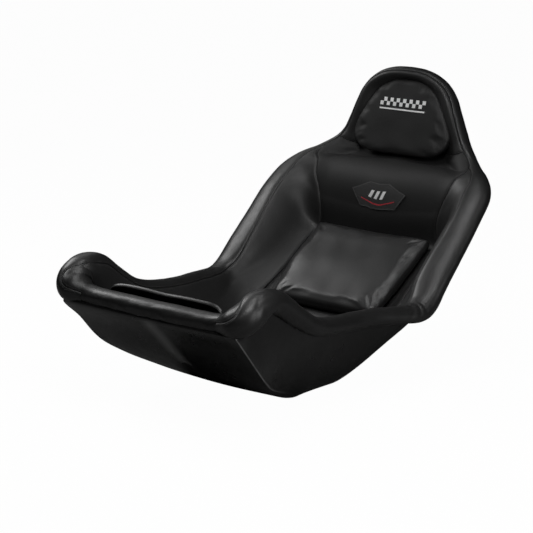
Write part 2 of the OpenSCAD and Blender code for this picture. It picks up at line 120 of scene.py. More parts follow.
class Board:  # one material's node tree
    def __init__(self, name):
        self.material = bpy.data.materials.new(name)
        self.material.use_nodes = True
        self.tree = self.material.node_tree
        self.tree.nodes.clear()

    def add(self, kind, settings=None, *values, **named):
        node = self.tree.nodes.new(kind)
        for key, value in (settings or {}).items():
            setattr(node, key, value)
        for key, value in list(enumerate(values)) + list(named.items()):
            socket = node.inputs[key if isinstance(key, int) else key.replace("_", " ")]
            if isinstance(value, Sum):
                self.tree.links.new(value.socket, socket)
            elif value is not None:
                socket.default_value = value
        return Made(self, node)

    def place(self):
        return self.add("ShaderNodeTexCoord").out("Object")

    def noise(self, where, scale, detail=3.0, roughness=0.5):
        return self.add("ShaderNodeTexNoise", None, Vector=where, Scale=scale, Detail=detail,
                        Roughness=roughness).out(0)

    def cells(self, where, scale):
        return self.add("ShaderNodeTexVoronoi", None, Vector=where, Scale=scale).out("Distance")

    def value(self, name):
        return self.add("ShaderNodeAttribute", {"attribute_name": name}).out("Fac")

    def mixColour(self, share, low, high):
        made = self.add("ShaderNodeMix", {"data_type": "RGBA"})
        for socket, value in ((made.node.inputs[0], share), (made.node.inputs[6], low), (made.node.inputs[7], high)):
            if isinstance(value, Sum):
                self.tree.links.new(value.socket, socket)
            else:
                socket.default_value = value
        return made.out(2)

    def xyz(self, where):
        made = self.add("ShaderNodeSeparateXYZ", None, where)
        return made.out(0), made.out(1), made.out(2)

    def bump(self, height):
        return self.add("ShaderNodeBump", None, Strength=1.0, Distance=1.0, Height=height).out(0)

    def finish(self, **sockets):
        shader = self.add("ShaderNodeBsdfPrincipled", None, **sockets)
        self.add("ShaderNodeOutputMaterial", None, shader.out(0))
        return self.material


def grey(level):
    return (level, level, level, 1.0)


# the bucket as a row of cross-sections, from the front lip round to the top of the head, in millimetres

rimLine = np.array([
    [168, -320, 216], [211, -317, 231], [224, -287, 252], [227, -243, 252], [229, -190, 218],
    [229, -140, 187], [226, -95, 172], [224, -45, 165], [225, 5, 161], [233, 58, 158],
    [247, 110, 152], [262, 158, 148], [266, 196, 162], [264, 240, 204], [262, 300, 258],
    [260, 355, 309], [252, 402, 345], [231, 434, 367], [202, 460, 382], [172, 486, 404],
    [153, 497, 430], [139, 501, 460], [125, 503, 493], [109, 506, 527], [85, 508, 553],
    [48, 508, 571], [0, 508, 576]])
cornerLine = np.array([
    [170, -323, 213], [219, -343, 204], [213, -305, 165], [203, -258, 117], [182, -215, 87],
    [160, -170, 58], [150, -115, 26], [148, -60, 0], [150, -10, 0], [154, 55, 0],
    [162, 112, 19], [174, 182, 60], [184, 240, 95], [190, 305, 136], [192, 368, 176],
    [194, 420, 215], [190, 438, 284], [180, 460, 342], [164, 498, 370], [150, 518, 396],
    [138, 523, 427], [126, 525, 458], [112, 526, 491], [97, 527, 524], [75, 528, 547],
    [43, 528, 562], [0, 528, 566]])
spineLine = np.array([
    [-320, 216], [-339, 198], [-303, 160], [-260, 112], [-224, 76], [-183, 46], [-122, 16],
    [-60, 0], [-10, 0], [55, 0], [112, 17], [182, 59], [240, 94], [305, 135], [368, 175],
    [422, 211], [438, 272], [449, 330], [484, 368], [514, 397], [524, 434], [526, 466],
    [526, 498], [526, 520], [526, 532], [526, 538], [526, 540]])
# roll inset, roll half width, roll half thickness, corner rounding, lining depth on the floor and at the rim
paddingLine = np.array([
    [0, 22, 19, 2, 6, 6], [0, 30, 24, 2, 14, 8], [1, 30, 28, 3, 22, 10], [1, 28, 26, 3, 24, 12],
    [0, 23, 23, 8, 24, 14], [0, 21, 21, 14, 22, 14], [0, 21, 21, 30, 20, 14], [0, 21, 21, 45, 20, 14],
    [0, 21, 21, 50, 20, 14], [0, 22, 21, 50, 20, 14], [2, 25, 21, 55, 20, 15], [5, 28, 21, 55, 22, 18],
    [10, 33, 21, 40, 25, 24], [18, 42, 21, 32, 28, 32], [23, 48, 21, 30, 28, 37], [25, 50, 21, 30, 30, 38],
    [23, 48, 21, 32, 44, 36], [12, 35, 21, 30, 45, 26], [4, 24, 20, 20, 28, 14], [0, 17, 19, 12, 20, 8],
    [0, 13, 18, 10, 14, 6], [0, 12, 18, 8, 12, 6], [0, 12, 18, 8, 12, 6], [0, 12, 18, 8, 12, 6],
    [0, 12, 18, 8, 12, 6], [0, 12, 18, 8, 12, 6], [0, 12, 18, 8, 12, 6]])
headTop = len(rimLine) - 1
mm = 0.001


def unit(v):  # v over its own length
    return v / np.maximum(np.linalg.norm(v, axis=-1, keepdims=True), 1e-9)


def dot(a, b):
    return (a * b).sum(-1, keepdims=True)


def smooth(t):  # 3t^2 - 2t^3 between 0 and 1
    t = np.clip(t, 0, 1)
    return t * t * (3 - 2 * t)


def hill(t, width):  # bell curve, 1 at t = 0
    return np.exp(-(t / width) ** 2)


# smooth curve through the rows of a line (Catmull-Rom), straight on before its first row and mirrored past its last
def lineCurve(line, u, sided=False):
    flip = np.ones(line.shape[1])
    flip[0] = -1 if sided else 1
    step = line[1] - line[0]
    rows = np.vstack([line[0] - 2 * step, line[0] - step, line, line[-2::-1] * flip])
    i = np.floor(u).astype(int)
    t = (u - i)[..., None]
    a, b, c, d = (rows[np.clip(i + k + 2, 0, len(rows) - 1)] for k in (-1, 0, 1, 2))
    return b + t * ((c - a) / 2 + t * ((a - 2.5 * b + 2 * c - d / 2) + t * ((3 * b - 3 * c + d - a) / 2)))


def onBase(p):  # z no lower than the flat base
    p = p.copy()
    p[..., 2] = np.maximum(p[..., 2], 0)
    return p


def rimAt(u):  # the curve through rimLine
    return lineCurve(rimLine, u, True)


def cornerAt(u):  # the curve through cornerLine, kept on the base
    return onBase(lineCurve(cornerLine, u, True))


def spineAt(u):  # the curve through spineLine at x = 0, kept on the base
    p = lineCurve(spineLine, u)
    return onBase(np.concatenate([0 * p[..., :1], p], -1))


def paddingAt(u):  # the curve through paddingLine
    return lineCurve(paddingLine, u)


# section at u, depth inside the outer face: spine, start of the corner, corner, end of the corner, rim
def sectionAt(u, depth):
    spine, corner, rim = spineAt(u), cornerAt(u), rimAt(u)
    across, up = unit(corner - spine), unit(rim - corner)
    floorNormal = unit(np.cross(across, cornerAt(u + 0.05) - cornerAt(u - 0.05)))
    wallNormal = unit(np.cross(up, rimAt(u + 0.05) - rimAt(u - 0.05)))
    depth = np.broadcast_to(depth, u.shape)[..., None]
    spineNormal = unit(floorNormal * np.array([0, 1, 1]))
    c = spine + depth * spineNormal
    k = corner + depth * (floorNormal + wallNormal) / (1 + dot(floorNormal, wallNormal))
    r = rim + depth * wallNormal
    rounding = paddingAt(u)[..., 3:4]
    a = k + unit(c - k) * np.minimum(rounding, 0.8 * np.linalg.norm(c - k, axis=-1, keepdims=True))
    b = k + unit(r - k) * np.minimum(1.2 * rounding, 0.7 * np.linalg.norm(r - k, axis=-1, keepdims=True))
    return c, a, k, b, r


# point of a layer: straight floor to s = 0.4, rounded corner to 0.6, straight wall to 1; s < 0 is the other side
def layerPoint(u, s, depth):
    u, s = np.broadcast_arrays(u, s)
    c, a, k, b, r = sectionAt(u, depth)
    side = np.where(s < 0, -1.0, 1.0)[..., None]
    s = np.abs(s)[..., None]
    t = np.clip((s - 0.4) / 0.2, 0, 1)
    floor = c + (a - c) * np.clip(s / 0.4, 0, 1)
    bend = (1 - t) ** 2 * a + 2 * t * (1 - t) * k + t * t * b
    wall = b + (r - b) * np.clip((s - 0.6) / 0.4, 0, 1)
    p = np.where(s <= 0.4, floor, np.where(s <= 0.6, bend, wall))
    return np.concatenate([p[..., :1] * side, p[..., 1:]], -1)


# depth of the lining: its floor depth to s = 0.4, then a smooth step to its rim depth at s = 0.9
def liningDepth(u, s):
    pad = paddingAt(np.broadcast_arrays(u, s)[0])
    return pad[..., 4] + (pad[..., 5] - pad[..., 4]) * smooth((np.abs(s) - 0.4) / 0.5)


def liningPoint(u, s, height=0.0):  # the layer at the depth of the lining plus a height
    return layerPoint(u, s, liningDepth(u, s) + height)


# axes of the rim roll: along the rim, outwards, and towards the sitter
def rimAxes(u):
    along = unit(rimAt(u + 0.05) - rimAt(u - 0.05))
    p = rimAt(u)
    x = np.where(p[..., 1] < -150, p[..., 0] - 170 * np.sign(p[..., 0]), p[..., 0])
    side = np.stack([x, np.minimum(0, p[..., 1] + 260), np.maximum(0, p[..., 2] - 470)], -1)
    out = unit(side - along * dot(side, along))
    return along, out, np.cross(out, along)


# roll round the rim: a slightly squared ellipse about the inset edge; angle 0 points outwards and 90 to the sitter
def rollPoint(u, angle, grow=0.0, fullness=0.9):
    u, angle, grow = np.broadcast_arrays(u, angle, grow)
    _, out, front = rimAxes(u)
    pad = paddingAt(u)
    c, s = np.cos(np.radians(angle)), np.sin(np.radians(angle))
    c, s = (np.sign(v) * np.abs(v) ** fullness for v in (c, s))
    return (rimAt(u) + out * (-pad[..., 0] + (pad[..., 1] + grow) * c)[..., None]
            + front * ((pad[..., 2] + grow) * s)[..., None])


# soft bumps: a sum of waves in fixed random directions, about -1 to 1
def softNoise(p, size, seed):
    pick = np.random.RandomState(seed)
    waves = unit(pick.normal(size=(14, 3))) * (2 * np.pi / size) * pick.uniform(0.6, 1.5, (14, 1))
    return np.sin(p @ waves.T + pick.uniform(0, 6.28, 14)).sum(-1) / 4.5


# mesh makers

# a mesh in millimetres with its point attributes, riding on a body and filled from a material slot
def addPiece(name, points, faces, material, body, values=None, sharp=None):
    mesh = bpy.data.meshes.new(name)
    mesh.from_pydata((np.asarray(points) * mm).tolist(), [], faces)
    for key, value in (values or {}).items():
        mesh.attributes.new(key, "FLOAT", "POINT").data.foreach_set("value", np.asarray(value, np.float32).ravel())
    mesh.validate()
    mesh.shade_smooth()
    if sharp:
        mesh.set_sharp_from_angle(angle=math.radians(sharp))
    piece = bpy.data.objects.new(name, mesh)
    bpy.context.scene.collection.objects.link(piece)
    mesh.materials.append(material)
    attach(piece, body)
    return piece


def quads(index, around=False):  # faces between neighbouring rows and columns of an index grid
    if around:
        index = np.concatenate([index, index[:, :1]], 1)
    return np.stack([index[:-1, :-1], index[:-1, 1:], index[1:, 1:], index[1:, :-1]], -1).reshape(-1, 4)


# closed slab between a lower and an upper grid: both faces and the four edges
def slabFaces(n, m):
    low = np.arange(n * m).reshape(n, m)
    high = low + n * m
    walls = [np.stack([low[0], high[0]]), np.stack([high[-1], low[-1]]),
             np.stack([high[:, 0], low[:, 0]]), np.stack([low[:, -1], high[:, -1]])]
    return np.concatenate([quads(high), quads(low)[:, ::-1]] + [quads(w)[:, ::-1] for w in walls])


# both grids of a slab as one closed mesh; the values of the upper grid also go to the lower
def slab(name, lower, upper, material, body, values=None):
    n, m = upper.shape[:2]
    both = np.concatenate([lower.reshape(-1, 3), upper.reshape(-1, 3)])
    doubled = {k: np.concatenate([np.ravel(v), np.ravel(v)]) for k, v in (values or {}).items()}
    return addPiece(name, both, slabFaces(n, m).tolist(), material, body, doubled, 50)


# tube of rings closed at both ends on the middle of its end rings
def tube(name, rings, material, body, values=None):
    n, m = rings.shape[:2]
    ends = np.stack([rings[0].mean(0), rings[-1].mean(0)])
    index = np.arange(n * m).reshape(n, m)
    first, last = index[0], index[-1]
    caps = ([[n * m, int(a), int(b)] for a, b in zip(np.roll(first, -1), first)]
            + [[n * m + 1, int(a), int(b)] for a, b in zip(last, np.roll(last, -1))])
    filled = {k: np.concatenate([np.ravel(v), [9, 9]]) for k, v in (values or {}).items()}
    faces = quads(index, True)[:, ::-1].tolist() + [face[::-1] for face in caps]
    return addPiece(name, np.concatenate([rings.reshape(-1, 3), ends]), faces, material, body, filled, 60)


def facesOut(piece):  # turns a closed mesh's faces outwards
    shape = bmesh.new()
    shape.from_mesh(piece.data)
    bmesh.ops.recalc_face_normals(shape, faces=shape.faces)
    shape.to_mesh(piece.data)
    shape.free()
    return piece


def mirrorX(p):  # (-x, y, z)
    return p * np.array([-1.0, 1.0, 1.0])


# materials

grain = {"cell": 1.5, "depth": 0.06, "roughness": 0.46}


# leatherette: two sizes of pebble cells, darker in the creases, with sewn lines where the piece carries them:
# sewAcross is the distance in millimetres from a seam, sewAlong the distance along it
def leather(name, tone, sewn=True, roughness=None, motif=None, shine=0.5):
    b = Board(name)
    where = b.place()
    roughness = roughness or grain["roughness"]
    pebbles = b.cells(where, 1000 / grain["cell"])
    fine = b.noise(where, 1800, 2.0)
    soft = b.noise(where, 9, 3.0)
    wide = b.noise(where, 60, 4.0, 0.6)
    height = (0.5 - pebbles) * grain["depth"] * mm + (fine - 0.5) * 0.02 * mm + (wide - 0.5) * 0.10 * mm
    colour = b.mixColour(soft, grey(tone * 0.85), grey(tone * 1.15))
    colour = b.mixColour((pebbles * 1.4).clip(), colour, grey(tone * 0.6))
    rough = roughness + (soft - 0.5) * 0.10 + (wide - 0.5) * 0.08 + (pebbles - 0.4) * 0.10
    if sewn:
        across, along = abs(b.value("sewAcross")), b.value("sewAlong")
        groove = (-(across / 0.9) * (across / 0.9)).exp()
        row = (abs(across - 3.2) < 0.45) * ((along % 3.4) < 2.5)
        holes = (abs(across - 3.2) < 0.5) * ((along % 3.4) > 2.7)
        height = height - groove * 0.9 * mm + row * 0.22 * mm - holes * 0.25 * mm
        colour = b.mixColour(row * 0.6, colour, grey(tone * 1.8))
        # painted shade: the seam's groove is coloured near black for the shade that falls into it
        colour = b.mixColour((groove * 0.8).clip(), colour, grey(tone * 0.2))
        rough = rough + row * 0.15 + groove * 0.3
    if motif:
        colour, rough, height = motif(b, where, colour, rough, height)
    return b.finish(Base_Color=colour, Roughness=rough.clip(), Normal=b.bump(height), Specular_IOR_Level=shine)


# white embroidered chequers in two rows over a thin bar, on the face of the head pad
chequer = {"size": 8.4, "height": 512.0, "bar": 3.2, "drop": 15.0, "front": 0.492}


def chequerBand(b, where, colour, rough, height):
    x, y, z = b.xyz(where)
    x, z = x * 1000, z * 1000 - chequer["height"]
    size = chequer["size"]
    column = ((x + 400 * size) / size).math("FLOOR")
    row = ((z + 400 * size) / size).math("FLOOR")
    square = ((column + row) % 2.0) < 0.5
    band = (abs(z) < size) * (abs(x) < size * 7) * square
    bar = (abs(z + chequer["drop"]) < chequer["bar"] / 2) * (abs(x) < size * 7)
    front = y < chequer["front"]
    thread = (band + bar).clip() * front
    twist = ((x * 0.5 + z) * 9.0).math("SINE")
    colour = b.mixColour(thread, colour, b.mixColour((twist * 0.5 + 0.5).clip(), grey(0.62), grey(0.80)))
    return colour, rough * (1 - thread) + thread * 0.7, height + thread * 0.35 * mm + thread * twist * 0.06 * mm


# moulded laminate: satin gel coat with a faint weave of waves, fine scuffs and dust, and a pale painted highlight along
# the shell's front crease
def laminate(name):
    b = Board(name)
    where = b.place()
    wave = b.noise(where, 14, 2.0)
    peel = b.noise(where, 260, 2.0)
    dust = b.noise(where, 38, 5.0, 0.65)
    scuff = b.noise(b.add("ShaderNodeMapping", None, where, Scale=(40.0, 6.0, 260.0)).out(0), 6, 4.0, 0.6)
    mark = (abs(scuff - 0.5) < 0.012) * (dust > 0.52)
    colour = b.mixColour((dust * 0.5).clip(), grey(0.0075), grey(0.012))
    colour = b.mixColour(mark * 0.35, colour, grey(0.03))
    # painted highlight: the crease of the shell is coloured pale grey to stand in for the light it catches, and made a
    # little rougher
    paintedRidgeHighlight = b.value("paintedRidgeHighlight")
    colour = b.mixColour((paintedRidgeHighlight * (0.7 + dust * 0.6)).clip(), colour, grey(0.22))
    rough = 0.30 + (dust - 0.5) * 0.16 + mark * 0.12 + (wave - 0.5) * 0.06 + paintedRidgeHighlight * 0.1
    height = (wave - 0.5) * 0.5 * mm + (peel - 0.5) * 0.035 * mm - mark * 0.02 * mm
    return b.finish(Base_Color=colour, Roughness=rough.clip(), Normal=b.bump(height), IOR=1.45)


# woven tape with a pile of hooks or loops
def tapeFabric(name, pile):
    b = Board(name)
    where = b.place()
    x, y, z = b.xyz(where)
    weave = (x * 5200).math("SINE") * ((y + z) * 4600).math("SINE")
    tuft = b.noise(where, pile, 3.0)
    colour = b.mixColour(tuft, grey(0.006), grey(0.022))
    height = weave * 0.12 * mm + (tuft - 0.5) * 0.5 * mm
    return b.finish(Base_Color=colour, Roughness=0.85 - tuft * 0.15, Normal=b.bump(height))


# twill patch, with place in millimetres from its middle in patchX and patchY: a stitched border, a red rule
# along its foot and three slanted white bars
patchMarks = {"pitch": 15.0, "width": 8.0, "tall": 9.0, "rule": 44.0}


def patchCloth(name):
    b = Board(name)
    x, y, edge = b.value("patchX"), b.value("patchY"), b.value("patchEdge")
    twill = ((x + y) * 8.5).math("SINE")
    lean = x - y * 0.45 + 22.5
    bar = ((lean % patchMarks["pitch"]) < patchMarks["width"]) * (lean > 0.0) * (lean < 45.0)
    bar = bar * (abs(y - 3) < patchMarks["tall"])
    rule = (abs(y + 17.5) < 1.4) * (abs(x) < patchMarks["rule"])
    border = (abs(edge - 1.6) < 1.1)
    thread = (bar + rule + border).clip()
    colour = b.mixColour((twill * 0.5 + 0.5).clip(), grey(0.010), grey(0.018))
    colour = b.mixColour(border, colour, grey(0.030))
    colour = b.mixColour(rule, colour, (0.42, 0.006, 0.018, 1.0))
    colour = b.mixColour(bar, colour, grey(0.72))
    twist = ((x * 0.3 + y) * 10.0).math("SINE")
    height = twill * 0.05 * mm + thread * 0.3 * mm + thread * twist * 0.07 * mm
    return b.finish(Base_Color=colour, Roughness=0.72 - thread * 0.1, Normal=b.bump(height))


def metal(name, tone, rough, brush):
    b = Board(name)
    where = b.place()
    lines = b.noise(b.add("ShaderNodeMapping", None, where, Scale=brush).out(0), 12, 3.0)
    spots = b.noise(where, 30, 4.0)
    colour = b.mixColour(spots, grey(tone * 0.85), grey(tone))
    rough = (rough + (lines - 0.5) * 0.2 + (spots - 0.5) * 0.1).clip()
    return b.finish(Base_Color=colour, Metallic=1.0, Roughness=rough,
                    Normal=b.bump((lines - 0.5) * 0.03 * mm))


coverLeather = leather("coverLeather", 0.016, roughness=0.48)
rollLeather = leather("rollLeather", 0.016, roughness=0.39)
padLeather = leather("padLeather", 0.017, sewn=False, roughness=0.38)
backLeather = leather("backLeather", 0.009, roughness=0.60, shine=0.36)
headLeather = leather("headLeather", 0.0075, sewn=False, roughness=0.56, motif=chequerBand, shine=0.4)
shellLaminate = laminate("shellLaminate")
loopTape, hookTape = tapeFabric("loopTape", 900), tapeFabric("hookTape", 1500)
patchTwill = patchCloth("patchTwill")
plateMetal = metal("plateMetal", 0.62, 0.38, (30.0, 900.0, 30.0))
insertMetal = metal("insertMetal", 0.55, 0.32, (60.0, 60.0, 900.0))
print("materials made")


# the bucket: both faces of a thin wall, fine where floor and wall meet, with four holes in its flat base

bucket = {"wall": 4.0, "belly": 9.0, "keel": 1.0, "rows": 320, "hole": 6.5, "boltX": 75.0, "boltY": 40.0}


def bothSides(half):  # a row from 0 to 1 made into a row from -1 to 1
    return np.concatenate([-half[:0:-1], half])


# outer and inner layer from lip to head, fuller at the lower front corners by bucket["belly"] and rounded along its
# middle line by (1 - t)^2 / 2 of the step from keel to corner, with the four insert seats cut through its base
def makeBucket():
    s = bothSides(np.concatenate([np.linspace(0, 0.4, 9)[:-1], np.linspace(0.4, 0.6, 15)[:-1],
                                  np.linspace(0.6, 1, 9)]))
    u = np.linspace(0, headTop, bucket["rows"])[:, None]
    outer, inner = layerPoint(u, s, 0.0), layerPoint(u, s, bucket["wall"])
    outer[-1, :, 0] = inner[-1, :, 0] = 0
    # painted highlight mask: 1 along the front crease where floor meets wall, fading within about 1.5 mm, from the lip
    # to about u = 6.6
    paintedRidgeHighlight = hill(np.linalg.norm(outer - layerPoint(u, 0.5 * np.sign(s) + 0 * s, 0.0), axis=-1), 1.5)
    paintedRidgeHighlight = paintedRidgeHighlight * smooth((6.6 - u) / 1.5) * smooth((u - 0.8) / 0.6)
    belly = smooth(np.abs(s) / 0.45) * hill(np.abs(s) - 0.5, 0.4)
    belly = belly * hill(u - 4.0, 1.6) * smooth((6.5 - u) / 1.0) * smooth((u - 1.2) / 1.5)
    belly = belly[..., None] * np.stack([bucket["belly"] * np.sign(s), 0 * s, -bucket["belly"] + 0 * s], -1)
    t = np.clip(np.abs(s) / 0.4, 0, 1)
    keel, turn = sectionAt(u, 0)[:2]
    rounded = (t / bucket["keel"] - 1) ** 2 * bucket["keel"] / 2 * (t < bucket["keel"])
    belly = belly + (turn - keel) * np.array([0, 1, 1]) * rounded[..., None]
    shell = slab("bucketShell", outer + belly, inner + belly, shellLaminate, "bucket",
                 {"paintedRidgeHighlight": paintedRidgeHighlight})
    shape = bmesh.new()
    shape.from_mesh(shell.data)
    bmesh.ops.remove_doubles(shape, verts=shape.verts, dist=0.01 * mm)
    bmesh.ops.recalc_face_normals(shape, faces=shape.faces)
    shape.to_mesh(shell.data)
    shape.free()
    drill = bmesh.new()
    for x in (-1, 1):
        for y in (-1, 1):
            made = bmesh.ops.create_cone(drill, cap_ends=True, segments=48, radius1=bucket["hole"] * mm,
                                         radius2=bucket["hole"] * mm, depth=40 * mm)
            place = (x * bucket["boltX"] * mm, y * bucket["boltY"] * mm, 0)
            bmesh.ops.translate(drill, verts=made["verts"], vec=place)
    drillMesh = bpy.data.meshes.new("drill")
    drill.to_mesh(drillMesh)
    drill.free()
    drillPiece = bpy.data.objects.new("drill", drillMesh)
    bpy.context.scene.collection.objects.link(drillPiece)
    cut = shell.modifiers.new("holes", "BOOLEAN")
    cut.object, cut.operation, cut.solver = drillPiece, "DIFFERENCE", "EXACT"
    settle(shell)
    bpy.data.objects.remove(drillPiece)
    shell.data.shade_smooth()
    shell.data.set_sharp_from_angle(angle=math.radians(40))
    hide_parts("bucket_shell")


def settle(piece):  # applies the modifiers of a piece
    scene = bpy.context.evaluated_depsgraph_get()
    made = bpy.data.meshes.new_from_object(piece.evaluated_get(scene), preserve_all_data_layers=True, depsgraph=scene)
    piece.modifiers.clear()
    piece.data = made


makeBucket()
print("bucket made")

# linings: padded panels glued into the bucket, each rolled down into the seams at its edges. Across the seat
# a section runs from w = 0 on the middle line up the wall, then on a smooth curve to w = 1 at the rim's seam.

lining = {"height": 2.4, "seamDrop": 2.6, "seamWidth": 4.0, "ripple": 0.22, "wallShare": 0.6}
# by section: s at which the lining leaves the wall, angle of the rim's seam, and w of the seam between the middle
# and the side
leaving = ((0, 0.74), (9.5, 0.74), (11.5, 0.66), (13, 0.56), (15, 0.53), (16.2, 0.53), (17.2, 0.50), (18, 0.40),
           (19, 0.29), (26, 0.26))
rollSeam = ((0, 25), (0.65, 25), (0.9, 23), (1.25, 60), (1.6, 88), (2.0, 130), (2.5, 165), (8.25, 162), (9.4, 159),
            (11.3, 137), (12.3, 130), (13.2, 110), (14.1, 95), (15, 89), (16, 94), (17.5, 88), (18.1, 86), (21.15, 78),
            (23.45, 43), (24, 48), (26, 66))
panelSeam = ((0, 0.405), (9.5, 0.405), (12.23, 0.483), (13.83, 0.515), (15.29, 0.495), (15.82, 0.512), (16.42, 0.566),
             (16.87, 0.652), (17.27, 0.795), (17.8, 0.955), (18.15, 1.0), (26, 1.0))


def along(table, u):  # a table read by rounded-off lines, mirrored past the top of the head
    table = np.array(table, float)
    u = np.where(u > headTop, 2 * headTop - u, u)
    return sum(np.interp(u + step, table[:, 0], table[:, 1]) for step in np.linspace(-0.28, 0.28, 7)) / 7


# face of the lining: the wall up to w = wallShare, then a cubic curve from where it leaves the wall to the rim's
# seam, with its tangents along the wall and round the roll
def crossGrid(u, w):
    u, w = np.broadcast_arrays(u, w)
    side, w = np.where(w < 0, -1.0, 1.0), np.abs(w)
    join, share = along(leaving, u), lining["wallShare"]
    wall = liningPoint(u, join * np.clip(w / share, 0, 1), lining["height"])
    start, before = liningPoint(u, join, lining["height"]), liningPoint(u, join - 0.01, lining["height"])
    angle = along(rollSeam, u)
    end = rollPoint(u, angle, -0.3)
    turn = unit(rollPoint(u, angle - 4, -0.3) - end)
    reach = np.linalg.norm(end - start, axis=-1, keepdims=True)
    flatter = (1.3 * smooth((u - 10.5) / 2) * smooth((17.6 - u) / 1.2))[..., None]  # the wings slope straight up
    turn = unit(turn + flatter * unit(end - start))
    a, b = start + unit(start - before) * reach * 0.30, end - turn * reach * 0.45
    t = np.clip((w - share) / (1 - share), 0, 1)[..., None]
    curve = (1 - t) ** 3 * start + 3 * (1 - t) ** 2 * t * a + 3 * (1 - t) * t ** 2 * b + t ** 3 * end
    p = np.where(w[..., None] <= share, wall, curve)
    return np.concatenate([p[..., :1] * side[..., None], p[..., 1:]], -1)


def lengths(grid, axis):  # distance from the first to each point along one axis of a grid
    step = np.linalg.norm(np.diff(grid, axis=axis), axis=2)
    start = np.zeros((1, grid.shape[1]) if axis == 0 else (grid.shape[0], 1))
    return np.concatenate([start, np.cumsum(step, axis)], axis)


def fromEdges(grid, axis):  # distance of each point to the first and to the last edge along one axis
    far = lengths(grid, axis)
    return far, (far[-1:] if axis == 0 else far[:, -1:]) - far


def gridNormals(grid):  # cross product of the two steps of a grid
    du, dv = np.gradient(grid, axis=0), np.gradient(grid, axis=1)
    return unit(np.cross(dv, du))


def seamRoll(distance, drop):  # how far a panel's face sinks near a seam
    return drop * np.exp(-(np.maximum(distance, 0) / lining["seamWidth"]) ** 1.5)


# one panel between two lines of w: sunk at its seams, softly uneven, filled down to the bucket's wall.
# seams gives the depth at the low, the high, the first and the last edge.
def makePanel(name, u, low, high, columns, seams, seed, flip, replaced):
    u = u[:, None]
    t = (1 - np.cos(np.pi * np.linspace(0, 1, columns))) / 2
    w = low[:, None] + (high - low)[:, None] * (0.35 * np.linspace(0, 1, columns) + 0.65 * t)[None, :]
    flat = crossGrid(u, w)
    normals = gridNormals(flat)
    lowSide, highSide = fromEdges(flat, 1)
    first, last = fromEdges(flat, 0)
    drop = 0
    near = 999 + 0 * first
    for depth, distance in zip(seams, (lowSide, highSide, first, last)):
        if depth:
            drop = np.maximum(drop, seamRoll(distance, depth))
            near = np.minimum(near, distance)
    swell = lining["ripple"] * softNoise(flat, 110, seed) + 0.2 * softNoise(flat, 34, seed + 1) * hill(near - 14, 14)
    upper = flat + normals * (swell * (1 - hill(near, 5)) - drop)[..., None]
    wallShare = np.minimum(np.abs(w) * 1.15 / lining["wallShare"] * along(leaving, u), 0.97)
    lower = layerPoint(u, np.sign(w) * wallShare, bucket["wall"] + 1.2)
    if abs(u[-1, 0] - headTop) < 0.01:
        upper[-1, :, 0] = lower[-1, :, 0] = 0
    if flip:
        upper, lower = mirrorX(upper), mirrorX(lower)
    sewn = {"sewAcross": near, "sewAlong": np.where(np.minimum(lowSide, highSide) <= near + 0.01, first, lowSide)}
    leatherette = backLeather if name == "upperBackPanel" else coverLeather
    panel = facesOut(slab(name, lower, upper, leatherette, "bucket", sewn))
    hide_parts(*replaced)


def makeLinings():  # seat, upper back and head between their seams, and a side on each hand
    rows = np.linspace(1.5, 14.6, 150)
    seam = along(panelSeam, rows)
    makePanel("seatLining", rows, -seam, seam, 61, (2.6, 2.6, 0, 0), 3, False, ("seat_foam", "seat_lining"))
    rows = np.linspace(14.5, 19.52, 130)
    seam = along(panelSeam, rows)
    makePanel("upperBackPanel", rows, -seam, seam, 121, (1.8, 1.8, 0, 2.0), 5, False,
              ("upper_back_foam", "upper_back_panel"))
    rows = np.linspace(19.48, headTop, 120)
    makePanel("headLining", rows, -1 + 0 * rows, 1 + 0 * rows, 121, (1.6, 1.6, 2.0, 0), 9, False,
              ("head_foam", "head_lining"))
    rows = np.concatenate([np.linspace(1.5, 2.6, 24)[:-1], np.linspace(2.6, 18.02, 240)])
    for side, word in ((1, "left"), (-1, "right")):
        makePanel("sideLining" + word.capitalize(), rows, along(panelSeam, rows), 1 + 0 * rows, 64,
                  (1.8, 1.6, 0, 0), 7, side < 0, ("side_foam_" + word, "side_lining_" + word))


makeLinings()
print("linings made")

# rim: padded rolls over the edge of the bucket, with a sewn seam on the sitter's side

roll = {"columns": 84, "ear": 5.0, "seamDrop": 1.3, "seamWidth": 3.5, "ripple": 0.22}
tucked = ((0, 0.0), (1.4, 0.0), (2, 0.2), (9.5, 0.25), (11.5, 0.6), (17, 0.65), (18.5, 0.5), (26, 0.45))


